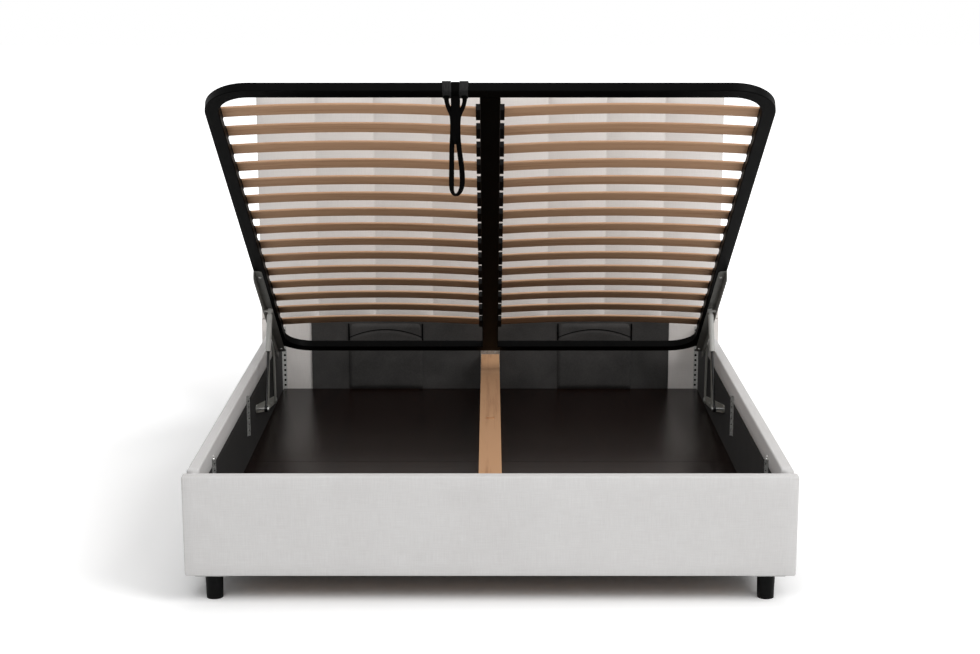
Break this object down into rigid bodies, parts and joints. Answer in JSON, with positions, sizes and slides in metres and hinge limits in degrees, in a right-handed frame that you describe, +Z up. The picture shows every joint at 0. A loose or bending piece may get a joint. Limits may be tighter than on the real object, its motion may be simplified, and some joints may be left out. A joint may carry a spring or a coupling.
{
  "type": "ottoman storage bed",
  "caption": "Upholstered storage bed whose slatted steel platform lifts on gas springs and linked arms over a boxed base with a channelled headboard.",
  "frame": {"origin": "on the floor under the middle of the bed's box", "axes": "+Z up, +Y along the bed from the foot end to the head end, +X across the bed"},
  "size_m": [1.79, 2.13, 1.4544],
  "materials": {
    "board_wood": "raw board",
    "cover_fabric": "light grey woven fabric",
    "lining_fabric": "dark non-woven lining",
    "floor_board": "glossy dark brown board",
    "pine": "planed pine",
    "zinc_steel": "bright zinc",
    "leg_black": "black",
    "bracket_steel": "grey powder coat",
    "cylinder_paint": "light grey paint",
    "rod_black": "black",
    "frame_black": "black powder coat",
    "slat_beech": "lacquered beech ply",
    "holder_plastic": "black",
    "strap_webbing": "black webbing"
  },
  "bodies": {
    "base": {"footboard_core": "board_wood", "footboard_cover": "cover_fabric", "footboard_lining": "lining_fabric", "side_rail_core_left": "board_wood", "side_rail_core_right": "board_wood", "side_rail_cover_left": "cover_fabric", "side_rail_cover_right": "cover_fabric", "side_rail_lining_left": "lining_fabric", "side_rail_lining_right": "lining_fabric", "headboard_back": "cover_fabric", "headboard_skirt": "cover_fabric", "headboard_cushion": "cover_fabric", "head_lining": "lining_fabric", "lining_pockets": "lining_fabric", "floor_panels": "floor_board", "floor_battens": "pine", "centre_beam": "pine", "beam_hangers": "zinc_steel", "beam_rest_pad": "pine", "corner_legs": "leg_black", "centre_leg": "leg_black", "leg_plates": "zinc_steel", "rail_angles": "zinc_steel", "head_angles": "zinc_steel", "base_plate_left": "bracket_steel", "base_plate_right": "bracket_steel", "base_pins": "zinc_steel"},
    "front_links": {"front_link_left": "bracket_steel", "front_link_right": "bracket_steel"},
    "rear_links": {"rear_link_left": "bracket_steel", "rear_link_right": "bracket_steel"},
    "gas_rods": {"gas_rod_left": "rod_black", "gas_rod_right": "rod_black"},
    "gas_cylinders": {"gas_cylinder_left": "cylinder_paint", "gas_cylinder_right": "cylinder_paint"},
    "platform": {"frame_foot_hoop": "frame_black", "frame_head_hoop": "frame_black", "frame_centre_bar": "frame_black", "slat_row_01": "slat_beech", "slat_row_02": "slat_beech", "slat_row_03": "slat_beech", "slat_row_04": "slat_beech", "slat_row_05": "slat_beech", "slat_row_06": "slat_beech", "slat_row_07": "slat_beech", "slat_row_08": "slat_beech", "slat_row_09": "slat_beech", "slat_row_10": "slat_beech", "slat_row_11": "slat_beech", "slat_row_12": "slat_beech", "slat_row_13": "slat_beech", "slat_row_14": "slat_beech", "slat_row_15": "slat_beech", "slat_holders_side": "holder_plastic", "slat_holders_centre": "holder_plastic", "lift_bracket_left": "bracket_steel", "lift_bracket_right": "bracket_steel", "bracket_pins": "zinc_steel", "strap_wraps": "strap_webbing"},
    "strap": {"pull_strap": "strap_webbing"}
  },
  "joints": [
    {"name": "platform_lift", "type": "hinge", "parent": "base", "child": "front_links", "pos_m": [0, 0.45229, 0.18117], "axis": [1, 0, 0], "range_deg": [-57.9, 0], "stiffness_Nm_per_rad": 60, "springref_deg": 148.97},
    {"name": "platform_tilt", "type": "hinge", "parent": "front_links", "child": "platform", "pos_m": [0, 0.53429, 0.44575], "axis": [1, 0, 0], "range_deg": [0, 91.93]},
    {"name": "rear_link_turn", "type": "hinge", "parent": "base", "child": "rear_links", "pos_m": [0, 0.66918, 0.15323], "axis": [1, 0, 0], "range_deg": [-67.6, 0]},
    {"name": "gas_spring_turn", "type": "hinge", "parent": "base", "child": "gas_rods", "pos_m": [0, 0.17829, 0.24617], "axis": [1, 0, 0], "range_deg": [-60, 0]},
    {"name": "gas_spring_slide", "type": "slide", "parent": "gas_rods", "child": "gas_cylinders", "axis": [0, 0.4842, 0.875], "range_m": [-0.0526, 0]},
    {"name": "pull_strap_swing", "type": "hinge", "parent": "platform", "child": "strap", "pos_m": [-0.0965, -0.88091, 1.41455], "axis": [1, 0, 0], "range_deg": [0, 36]}
  ],
  "couplings": [
    {"joint": "platform_tilt", "follows": "platform_lift", "ratio": -1.5877},
    {"joint": "rear_link_turn", "follows": "platform_lift", "ratio": 1.1675},
    {"joint": "gas_spring_turn", "follows": "platform_lift", "ratio": 1.0363},
    {"joint": "gas_spring_slide", "follows": "platform_lift", "m_per_rad": 0.051952},
    {"joint": "pull_strap_swing", "follows": "platform_lift", "ratio": -0.62176}
  ]
}
